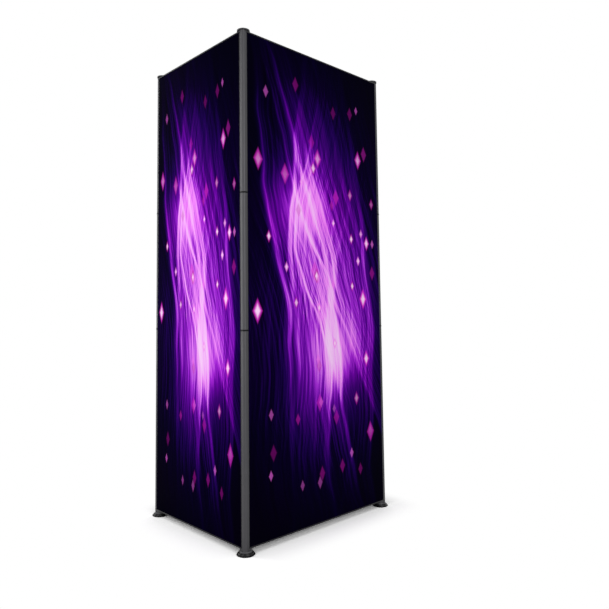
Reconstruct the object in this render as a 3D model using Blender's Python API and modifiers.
"""Display pillar tower: four plug-together posts that hold four tall printed panels.

Metres, +Z up. The origin is on the floor at the middle of the plan. The wide front panel
faces -Y. Each post stands on a levelling foot, whose stud screws into the foot collar.
"""

import math

import bmesh
import bpy

# Plan and height, from post axis to post axis and from the floor to the caps' tops
POST_SPACING_X = 1.560
POST_SPACING_Y = 1.230
TOWER_HEIGHT = 4.000

# Clearance between two pieces that seat on each other, and round a turning piece
SEAT_GAP = 0.0003
RUN_GAP = 0.0004

# Post extrusion: a round tube with four flats, each with a shallow groove
POST_RADIUS = 0.046
FLAT_DEPTH = 0.006
GROOVE_WIDTH = 0.025
GROOVE_DEPTH = 0.001
POST_WALL = 0.003
LOBE_STEPS = 5

# Joints between the post sections: a ring that shows, and a hollow keyed spigot each way
LOWER_JOINT_HEIGHT = 1.647
UPPER_JOINT_HEIGHT = 2.703
RING_THICKNESS = 0.012
RING_PROUD = 0.0015
SPIGOT_LENGTH = 0.090
SPIGOT_WALL = 0.0065
BORE_STEPS = 14

# End caps, and how far the posts rise past the top rails
POST_RISE = 0.008
CAP_HEIGHT = 0.011
CAP_OVERHANG = 0.005
CAP_EDGE = 0.003
CAP_CROWN = 0.0015
CAP_EDGE_STEPS = 2
CAP_PLUG_LENGTH = 0.028
CAP_PLUG_WALL = 0.003
CAP_STEPS = 24

# Foot disc: hub, groove, raised ridge, apron and thin rim, from the middle outwards
DISC_RADIUS = 0.070
DISC_SEAT_HEIGHT = 0.020
DISC_GROOVE_DEPTH = 0.005
DISC_GROOVE_WIDTH = 0.004
DISC_RIDGE_HEIGHT = 0.018
DISC_RIDGE_WIDTH = 0.009
DISC_RIDGE_DROP = 0.003
DISC_APRON_HEIGHT = 0.010
DISC_RIM_HEIGHT = 0.0065
DISC_EDGE = 0.0015
DISC_STEPS = 28

# Foot collar: a flared socket with a plug up the post's bore and a hole for the stud
COLLAR_HEIGHT = 0.014
COLLAR_FLARE = 0.0025
COLLAR_LIP = 0.005
COLLAR_PLUG_LENGTH = 0.036
COLLAR_STEPS = 24

# Levelling stud, M12: thread, spanner hexagon, neck through the disc and riveted head
STUD_RADIUS = 0.006
STUD_LENGTH = 0.045
STUD_TIP = 0.001
STUD_STEPS = 12
HEX_ACROSS_FLATS = 0.019
HEX_HEIGHT = 0.005
HEX_ROOM = 0.0015
NECK_RADIUS = 0.005
HEAD_RADIUS = 0.008
HEAD_THICKNESS = 0.002
HEAD_FLOOR_GAP = 0.0006

# Printed panels and the magnetic strips on their backs
PANEL_THICKNESS = 0.0012
PANEL_EDGE_INSET = 0.003
MAGNET_THICKNESS = 0.0012
MAGNET_END_INSET = 0.012

# Rails along the panels' top and bottom edges, the bottom ones raised off the posts' ends
RAIL_RAISE = 0.0154
TRIM_THICKNESS = 0.0015
TRIM_LIP = 0.010
RAIL_DEPTH = 0.032
RAIL_WALL = 0.002

# Mid bars: a channel with a hook plate at each end
BAR_DEPTH = 0.020
HOOK_HEIGHT = 0.070
HOOK_THICKNESS = 0.004

# Overrun of cutters past what they cut
CUT_OVERRUN = 0.005

# Sizes that follow
POST_FLAT = POST_RADIUS - FLAT_DEPTH
GROOVE_FLOOR = POST_FLAT - GROOVE_DEPTH
BORE_FLAT = GROOVE_FLOOR - POST_WALL
BORE_RADIUS = POST_RADIUS - POST_WALL
CHANNEL_WIDTH = GROOVE_WIDTH - 2 * SEAT_GAP

COLLAR_BOTTOM = DISC_SEAT_HEIGHT + SEAT_GAP
COLLAR_TOP = COLLAR_BOTTOM + COLLAR_HEIGHT
POST_BOTTOM = COLLAR_TOP + SEAT_GAP
POST_TOP = TOWER_HEIGHT - CAP_HEIGHT - SEAT_GAP
JOINT_CLEAR = RING_THICKNESS / 2 + SEAT_GAP

MAGNET_BACK = GROOVE_FLOOR + SEAT_GAP
MAGNET_FRONT = MAGNET_BACK + MAGNET_THICKNESS
PANEL_BACK = MAGNET_FRONT + SEAT_GAP
PANEL_FRONT = PANEL_BACK + PANEL_THICKNESS
TRIM_BACK = PANEL_FRONT + SEAT_GAP
TRIM_FRONT = TRIM_BACK + TRIM_THICKNESS
MAGNET_WIDTH = GROOVE_WIDTH / 2 - SEAT_GAP - PANEL_EDGE_INSET

RAIL_TOP = POST_TOP - POST_RISE
RAIL_BOTTOM = POST_BOTTOM + RAIL_RAISE
PANEL_TOP = RAIL_TOP - TRIM_THICKNESS - SEAT_GAP
PANEL_BOTTOM = RAIL_BOTTOM + TRIM_THICKNESS + SEAT_GAP
BAR_HEIGHT = (PANEL_TOP + PANEL_BOTTOM) / 2

# The plan: each corner's post axis, and each side's middle, length and turn about Z
CORNERS = {
    "front_left": (-POST_SPACING_X / 2, -POST_SPACING_Y / 2),
    "front_right": (POST_SPACING_X / 2, -POST_SPACING_Y / 2),
    "rear_right": (POST_SPACING_X / 2, POST_SPACING_Y / 2),
    "rear_left": (-POST_SPACING_X / 2, POST_SPACING_Y / 2),
}
SIDES = {
    "front": ((0, -POST_SPACING_Y / 2), POST_SPACING_X, 0, ("front_left", "front_right")),
    "right": ((POST_SPACING_X / 2, 0), POST_SPACING_Y, math.pi / 2, ("front_right", "rear_right")),
    "rear": ((0, POST_SPACING_Y / 2), POST_SPACING_X, math.pi, ("rear_right", "rear_left")),
    "left": ((-POST_SPACING_X / 2, 0), POST_SPACING_Y, -math.pi / 2, ("rear_left", "front_left")),
}


def clear_scene():
    """Removes every object, so that the tower stands alone."""
    for obj in list(bpy.data.objects):
        bpy.data.objects.remove(obj)


def new_collection(name):
    """A collection of this name, in the scene."""
    collection = bpy.data.collections.new(name)
    bpy.context.scene.collection.children.link(collection)
    return collection


def new_material(name, color, roughness, metallic):
    """A plain finish: colour, roughness and how metallic it is."""
    material = bpy.data.materials.new(name)
    material.use_nodes = True
    shader = material.node_tree.nodes["Principled BSDF"]
    shader.inputs["Base Color"].default_value = (*color, 1)
    shader.inputs["Roughness"].default_value = roughness
    shader.inputs["Metallic"].default_value = metallic
    return material


def extrusion_plan(lobe_radius, flat, groove_width, groove_depth):
    """The extrusion's outline: lobes on a circle, joined by flats with a groove in each."""
    lobe_start = math.acos(flat / lobe_radius)
    lobe_sweep = math.pi / 2 - 2 * lobe_start
    floor = flat - groove_depth
    half = groove_width / 2
    groove = [(flat, -half), (floor, -half), (floor, half), (flat, half)] if groove_depth else []
    lobe = []
    for step in range(LOBE_STEPS + 1):
        angle = lobe_start + lobe_sweep * step / LOBE_STEPS
        lobe.append((lobe_radius * math.cos(angle), lobe_radius * math.sin(angle)))
    points = []
    for quarter in range(4):
        turn = quarter * math.pi / 2
        for x, y in groove + lobe:
            points.append((x * math.cos(turn) - y * math.sin(turn), x * math.sin(turn) + y * math.cos(turn)))
    return points


def circle_plan(radius, steps):
    """A circle's outline."""
    angles = [2 * math.pi * step / steps for step in range(steps)]
    return [(radius * math.cos(angle), radius * math.sin(angle)) for angle in angles]


def extruded_mesh(name, outlines, length):
    """A closed mesh: the filled outlines, drawn in XY, extruded by length along Z about 0."""
    curve = bpy.data.curves.new(name, "CURVE")
    curve.dimensions = "2D"
    curve.fill_mode = "BOTH"
    curve.extrude = length / 2
    for outline in outlines:
        spline = curve.splines.new("POLY")
        spline.points.add(len(outline) - 1)
        for point, (x, y) in zip(spline.points, outline):
            point.co = (x, y, 0, 1)
        spline.use_cyclic_u = True
    holder = bpy.data.objects.new(name, curve)
    bpy.context.scene.collection.objects.link(holder)
    bpy.context.view_layer.update()
    graph = bpy.context.evaluated_depsgraph_get()
    mesh = bpy.data.meshes.new_from_object(holder.evaluated_get(graph))
    bpy.data.objects.remove(holder)
    bpy.data.curves.remove(curve)
    work = bmesh.new()
    work.from_mesh(mesh)
    bmesh.ops.remove_doubles(work, verts=work.verts, dist=SEAT_GAP / 10)
    bmesh.ops.recalc_face_normals(work, faces=work.faces)
    work.to_mesh(mesh)
    work.free()
    return mesh


def moved(mesh, offset):
    """The mesh, moved within its own frame."""
    for vertex in mesh.vertices:
        vertex.co = [place + shift for place, shift in zip(vertex.co, offset)]
    return mesh


def stand_along_x(mesh):
    """Turns a mesh extruded along Z so that it runs along X, its outline's X inwards and Y up."""
    for vertex in mesh.vertices:
        inward, up, along = vertex.co
        vertex.co = (along, inward, up)
    return mesh


def profile_mesh(name, profile, closed):
    """The edges of a turned shape's profile, in the XZ plane."""
    count = len(profile)
    edges = [(index, index + 1) for index in range(count - 1)]
    if closed:
        edges.append((count - 1, 0))
    mesh = bpy.data.meshes.new(name)
    mesh.from_pydata([(radius, 0, height) for radius, height in profile], edges, [])
    return mesh


def box_mesh(name, size, middle):
    """A box of this size about this middle."""
    work = bmesh.new()
    bmesh.ops.create_cube(work, size=1)
    for vertex in work.verts:
        vertex.co = [place * side + shift for place, side, shift in zip(vertex.co, size, middle)]
    mesh = bpy.data.meshes.new(name)
    work.to_mesh(mesh)
    work.free()
    return mesh


def add_object(name, mesh, collection, material, place, turn=0):
    """Places a mesh as an object, turned about Z, with its material."""
    obj = bpy.data.objects.new(name, mesh)
    obj.location = place
    obj.rotation_euler = (0, 0, turn)
    if material and not mesh.materials:
        mesh.materials.append(material)
    collection.objects.link(obj)
    return obj


def add_screw(obj, steps):
    """Turns an object's profile about its Z axis."""
    screw = obj.modifiers.new("Turned", "SCREW")
    screw.axis = "Z"
    screw.steps = steps
    screw.render_steps = steps
    screw.use_merge_vertices = True
    screw.merge_threshold = SEAT_GAP / 10
    screw.use_smooth_shade = True
    return screw


def add_boolean(obj, name, operation, other):
    """Joins another object to this one, or cuts it away."""
    boolean = obj.modifiers.new(name, "BOOLEAN")
    boolean.operation = operation
    boolean.solver = "EXACT"
    boolean.object = other
    return boolean


def make_tool(obj):
    """Marks a cutter, or a shape that only joins into another."""
    obj.hide_render = True
    obj.display_type = "WIRE"
    return obj


def merged_mesh(name, meshes, tools):
    """One closed mesh from overlapping closed ones, by Boolean union."""
    base = bpy.data.objects.new(name, meshes[0])
    tools.objects.link(base)
    joined = []
    for index, mesh in enumerate(meshes[1:]):
        other = bpy.data.objects.new(f"{name}_piece_{index}", mesh)
        tools.objects.link(other)
        add_boolean(base, f"Join {index}", "UNION", other)
        joined.append(other)
    bpy.context.view_layer.update()
    graph = bpy.context.evaluated_depsgraph_get()
    result = bpy.data.meshes.new_from_object(base.evaluated_get(graph))
    for obj in [base, *joined]:
        bpy.data.objects.remove(obj)
    return result


def smooth_round(mesh):
    """Shades the curved faces smooth and keeps the real corners sharp."""
    mesh.shade_smooth()
    mesh.set_sharp_from_angle(angle=math.radians(30))
    return mesh


def post_mesh(name, length):
    """A length of the extrusion, hollow."""
    outside = extrusion_plan(POST_RADIUS, POST_FLAT, GROOVE_WIDTH, GROOVE_DEPTH)
    bore = extrusion_plan(BORE_RADIUS, BORE_FLAT, GROOVE_WIDTH, 0)
    return smooth_round(extruded_mesh(name, [outside, bore], length))


def joint_mesh(tools):
    """The ring that shows between two sections, with a hollow spigot keyed to the bore."""
    ring = extrusion_plan(POST_RADIUS + RING_PROUD, POST_FLAT, GROOVE_WIDTH, GROOVE_DEPTH)
    spigot = extrusion_plan(BORE_RADIUS - SEAT_GAP, BORE_FLAT - SEAT_GAP, GROOVE_WIDTH, 0)
    bore = circle_plan(BORE_FLAT - SEAT_GAP - SPIGOT_WALL, BORE_STEPS)
    middle = extruded_mesh("joint_ring", [ring, bore], RING_THICKNESS)
    sleeve = extruded_mesh("joint_sleeve", [spigot, bore], RING_THICKNESS + 2 * SPIGOT_LENGTH)
    return smooth_round(merged_mesh("joint", [sleeve, middle], tools))


def cap_profile():
    """From the crown down the outside, under the flange and down the hollow plug."""
    outer = POST_RADIUS + CAP_OVERHANG
    plug = BORE_FLAT - SEAT_GAP
    inner = plug - CAP_PLUG_WALL
    shoulder = CAP_HEIGHT - CAP_CROWN
    profile = [(0, CAP_HEIGHT)]
    for step in range(CAP_EDGE_STEPS + 1):
        angle = math.pi / 2 * step / CAP_EDGE_STEPS
        radius = outer - CAP_EDGE + CAP_EDGE * math.sin(angle)
        profile.append((radius, shoulder - CAP_EDGE + CAP_EDGE * math.cos(angle)))
    profile += [
        (outer, 0),
        (plug, 0),
        (plug, -CAP_PLUG_LENGTH),
        (inner, -CAP_PLUG_LENGTH),
        (inner, 0),
        (0, 0),
    ]
    return profile


def collar_profile():
    """From the seat under the post down the flare, up the stud's hole and down the plug."""
    hex_radius = HEX_ACROSS_FLATS / math.sqrt(3)
    foot = POST_RADIUS + COLLAR_FLARE
    plug = BORE_FLAT - SEAT_GAP
    recess = hex_radius + HEX_ROOM
    hole = STUD_RADIUS + RUN_GAP
    return [
        (POST_RADIUS, COLLAR_TOP),
        (POST_RADIUS, COLLAR_TOP - COLLAR_LIP),
        (foot, COLLAR_BOTTOM + COLLAR_LIP),
        (foot, COLLAR_BOTTOM),
        (recess, COLLAR_BOTTOM),
        (recess, COLLAR_BOTTOM + HEX_HEIGHT + HEX_ROOM),
        (hole, COLLAR_BOTTOM + HEX_HEIGHT + HEX_ROOM),
        (hole, COLLAR_TOP + COLLAR_PLUG_LENGTH),
        (plug, COLLAR_TOP + COLLAR_PLUG_LENGTH),
        (plug, COLLAR_TOP),
    ]


def disc_profile():
    """From the hub outwards over the groove and ridge to the rim, then back underneath."""
    hub = POST_RADIUS + COLLAR_FLARE
    groove = hub + DISC_GROOVE_WIDTH
    ridge = groove + DISC_RIDGE_WIDTH
    shoulder = DISC_RIDGE_HEIGHT - DISC_RIDGE_DROP
    hole = NECK_RADIUS + RUN_GAP
    pocket = HEAD_RADIUS + RUN_GAP
    return [
        (hole, DISC_SEAT_HEIGHT),
        (hub, DISC_SEAT_HEIGHT),
        ((hub + groove) / 2, DISC_SEAT_HEIGHT - DISC_GROOVE_DEPTH),
        (groove, shoulder),
        ((groove + ridge) / 2, DISC_RIDGE_HEIGHT),
        (ridge, DISC_APRON_HEIGHT),
        (DISC_RADIUS - DISC_EDGE, DISC_RIM_HEIGHT),
        (DISC_RADIUS, DISC_RIM_HEIGHT - DISC_EDGE),
        (DISC_RADIUS, DISC_EDGE),
        (DISC_RADIUS - DISC_EDGE, 0),
        (pocket, 0),
        (pocket, HEAD_FLOOR_GAP + HEAD_THICKNESS + RUN_GAP),
        (hole, HEAD_FLOOR_GAP + HEAD_THICKNESS + RUN_GAP),
    ]


def stud_profile():
    """From the chamfered tip down the thread and neck to the riveted head."""
    hex_bottom = DISC_SEAT_HEIGHT + SEAT_GAP
    top = hex_bottom + HEX_HEIGHT + STUD_LENGTH
    head_top = HEAD_FLOOR_GAP + HEAD_THICKNESS
    return [
        (0, top),
        (STUD_RADIUS - STUD_TIP, top),
        (STUD_RADIUS, top - STUD_TIP),
        (STUD_RADIUS, hex_bottom),
        (NECK_RADIUS, hex_bottom),
        (NECK_RADIUS, head_top),
        (HEAD_RADIUS, head_top),
        (HEAD_RADIUS, HEAD_FLOOR_GAP),
        (0, HEAD_FLOOR_GAP),
    ]


def rail_outline(up):
    """A rail's section, inwards and up from its outer edge: channel, web and lip over the panel.

    up is -1 where the channel hangs below the edge and 1 where it stands above it.
    """
    half = CHANNEL_WIDTH / 2
    inner = half - RAIL_WALL
    return [
        (half, 0),
        (-TRIM_FRONT, 0),
        (-TRIM_FRONT, up * TRIM_LIP),
        (-TRIM_BACK, up * TRIM_LIP),
        (-TRIM_BACK, up * TRIM_THICKNESS),
        (-half, up * TRIM_THICKNESS),
        (-half, up * RAIL_DEPTH),
        (-inner, up * RAIL_DEPTH),
        (-inner, up * RAIL_WALL),
        (inner, up * RAIL_WALL),
        (inner, up * RAIL_DEPTH),
        (half, up * RAIL_DEPTH),
    ]


def rail_mesh(name, spacing, up):
    """A rail as long as its panel is wide, before its ends are coped."""
    length = spacing - 2 * PANEL_EDGE_INSET
    return stand_along_x(extruded_mesh(name, [rail_outline(up)], length))


def bar_mesh(name, spacing, tools):
    """The stabilising bar: a channel open below, with a hook plate for each post's groove."""
    half = CHANNEL_WIDTH / 2
    inner = half - RAIL_WALL
    channel = [
        (half, BAR_DEPTH / 2),
        (-half, BAR_DEPTH / 2),
        (-half, -BAR_DEPTH / 2),
        (-inner, -BAR_DEPTH / 2),
        (-inner, BAR_DEPTH / 2 - RAIL_WALL),
        (inner, BAR_DEPTH / 2 - RAIL_WALL),
        (inner, -BAR_DEPTH / 2),
        (half, -BAR_DEPTH / 2),
    ]
    reach = spacing / 2 - GROOVE_FLOOR - SEAT_GAP
    bar = stand_along_x(extruded_mesh(f"{name}_channel", [channel], 2 * reach - HOOK_THICKNESS))
    hook_middle = reach - HOOK_THICKNESS / 2
    plates = []
    for way in (-1, 1):
        size = (HOOK_THICKNESS, CHANNEL_WIDTH - SEAT_GAP, HOOK_HEIGHT)
        plates.append(box_mesh(f"{name}_hook", size, (way * hook_middle, 0, 0)))
    return merged_mesh(name, [bar, *plates], tools)


def add_post(corner, place, tower, finishes, meshes):
    """The three sections of one post, its joints and its cap."""
    x, y = place
    sections = {
        "lower": (POST_BOTTOM, LOWER_JOINT_HEIGHT - JOINT_CLEAR),
        "middle": (LOWER_JOINT_HEIGHT + JOINT_CLEAR, UPPER_JOINT_HEIGHT - JOINT_CLEAR),
        "upper": (UPPER_JOINT_HEIGHT + JOINT_CLEAR, POST_TOP),
    }
    for level, (bottom, top) in sections.items():
        if level not in meshes:
            meshes[level] = post_mesh(f"{level}_post", top - bottom)
        middle = (x, y, (bottom + top) / 2)
        add_object(f"{corner}_{level}_post", meshes[level], tower, finishes["post"], middle)
    for level, height in (("lower", LOWER_JOINT_HEIGHT), ("upper", UPPER_JOINT_HEIGHT)):
        add_object(f"{corner}_{level}_joint", meshes["joint"], tower, finishes["joint"], (x, y, height))
    cap = add_object(f"{corner}_cap", meshes["cap"], tower, finishes["cap"], (x, y, POST_TOP + SEAT_GAP))
    add_screw(cap, CAP_STEPS)


def add_foot(corner, place, tower, tools, finishes, meshes):
    """The collar under one post, and the disc and stud that turn and travel on its axis."""
    axis = bpy.data.objects.new(f"{corner}_foot_axis", None)
    axis.location = (*place, 0)
    tower.objects.link(axis)
    collar = add_object(f"{corner}_collar", meshes["collar"], tower, finishes["collar"], (*place, 0))
    add_screw(collar, COLLAR_STEPS)
    disc = add_object(f"{corner}_foot_disc", meshes["disc"], tower, finishes["disc"], (0, 0, 0))
    disc.parent = axis
    add_screw(disc, DISC_STEPS)
    stud = add_object(f"{corner}_stud", meshes["stud"], tower, finishes["stud"], (0, 0, 0))
    stud.parent = disc
    add_screw(stud, STUD_STEPS)
    hexagon = add_object(f"{corner}_stud_hexagon", meshes["hexagon"], tools, None, (0, 0, 0))
    hexagon.parent = stud
    make_tool(hexagon)
    add_boolean(stud, "Hexagon", "UNION", hexagon)


def add_side(side, tower, tools, finishes, cutters):
    """One printed panel with its magnets, its two rails and its mid bar."""
    (x, y), spacing, turn, ends = SIDES[side]
    panel_width = spacing - 2 * PANEL_EDGE_INSET
    panel_height = PANEL_TOP - PANEL_BOTTOM
    panel_depth = -(PANEL_FRONT + PANEL_BACK) / 2
    middle = (x, y, (PANEL_TOP + PANEL_BOTTOM) / 2)

    sheet = box_mesh(f"{side}_panel", (panel_width, PANEL_THICKNESS, panel_height), (0, panel_depth, 0))
    add_object(f"{side}_panel", sheet, tower, finishes["panel"], middle, turn)

    strip_depth = -(MAGNET_FRONT + MAGNET_BACK) / 2
    strip_size = (MAGNET_WIDTH, MAGNET_THICKNESS, panel_height - 2 * MAGNET_END_INSET)
    for hand, way in (("left", -1), ("right", 1)):
        along = way * (panel_width - MAGNET_WIDTH) / 2
        strip = box_mesh(f"{side}_magnet_{hand}", strip_size, (along, strip_depth, 0))
        add_object(f"{side}_magnet_{hand}", strip, tower, finishes["magnet"], middle, turn)

    members = []
    for edge, height, up in (("top", RAIL_TOP, -1), ("bottom", RAIL_BOTTOM, 1)):
        rail = rail_mesh(f"{side}_{edge}_rail", spacing, up)
        members.append(add_object(f"{side}_{edge}_rail", rail, tower, finishes["rail"], (x, y, height), turn))
    for rail in members:
        for end in ends:
            add_boolean(rail, f"Cope {end}", "DIFFERENCE", cutters[end])

    bar = bar_mesh(f"{side}_mid_bar", spacing, tools)
    add_object(f"{side}_mid_bar", bar, tower, finishes["bar"], (x, y, BAR_HEIGHT), turn)


def add_cutter(corner, place, tools):
    """The room that a post needs in a rail: its own plan, a seat gap larger all round."""
    plan = extrusion_plan(
        POST_RADIUS + SEAT_GAP, POST_FLAT + SEAT_GAP, GROOVE_WIDTH - 2 * SEAT_GAP, GROOVE_DEPTH
    )
    height = TOWER_HEIGHT + 2 * CUT_OVERRUN
    mesh = extruded_mesh(f"{corner}_clearance", [plan], height)
    return make_tool(add_object(f"{corner}_clearance", mesh, tools, None, (*place, TOWER_HEIGHT / 2)))


def build():
    """The whole tower."""
    clear_scene()
    tower = new_collection("display_pillar_tower")
    tools = new_collection("cutters")
    finishes = {
        "post": new_material("post_aluminium", (0.15, 0.15, 0.165), 0.38, 0.85),
        "joint": new_material("joint_plastic", (0.012, 0.012, 0.014), 0.5, 0),
        "cap": new_material("cap_plastic", (0.03, 0.03, 0.032), 0.42, 0),
        "collar": new_material("collar_casting", (0.13, 0.13, 0.14), 0.45, 0.7),
        "disc": new_material("disc_plastic", (0.02, 0.02, 0.022), 0.45, 0),
        "stud": new_material("stud_steel", (0.55, 0.55, 0.57), 0.3, 1),
        "panel": new_material("panel_print", (0.10, 0.015, 0.30), 0.4, 0),
        "magnet": new_material("magnet_rubber", (0.03, 0.03, 0.03), 0.8, 0),
        "rail": new_material("rail_paint", (0.01, 0.01, 0.012), 0.4, 0),
        "bar": new_material("bar_aluminium", (0.45, 0.45, 0.47), 0.4, 0.9),
    }
    hexagon = extruded_mesh("stud_hexagon", [circle_plan(HEX_ACROSS_FLATS / math.sqrt(3), 6)], HEX_HEIGHT)
    hexagon_middle = DISC_SEAT_HEIGHT + SEAT_GAP + HEX_HEIGHT / 2
    meshes = {
        "joint": joint_mesh(tools),
        "cap": profile_mesh("cap", cap_profile(), closed=False),
        "collar": profile_mesh("collar", collar_profile(), closed=True),
        "disc": profile_mesh("foot_disc", disc_profile(), closed=True),
        "stud": profile_mesh("stud", stud_profile(), closed=False),
        "hexagon": moved(hexagon, (0, 0, hexagon_middle)),
    }
    cutters = {}
    for corner, place in CORNERS.items():
        add_post(corner, place, tower, finishes, meshes)
        add_foot(corner, place, tower, tools, finishes, meshes)
        cutters[corner] = add_cutter(corner, place, tools)
    for side in SIDES:
        add_side(side, tower, tools, finishes, cutters)


build()
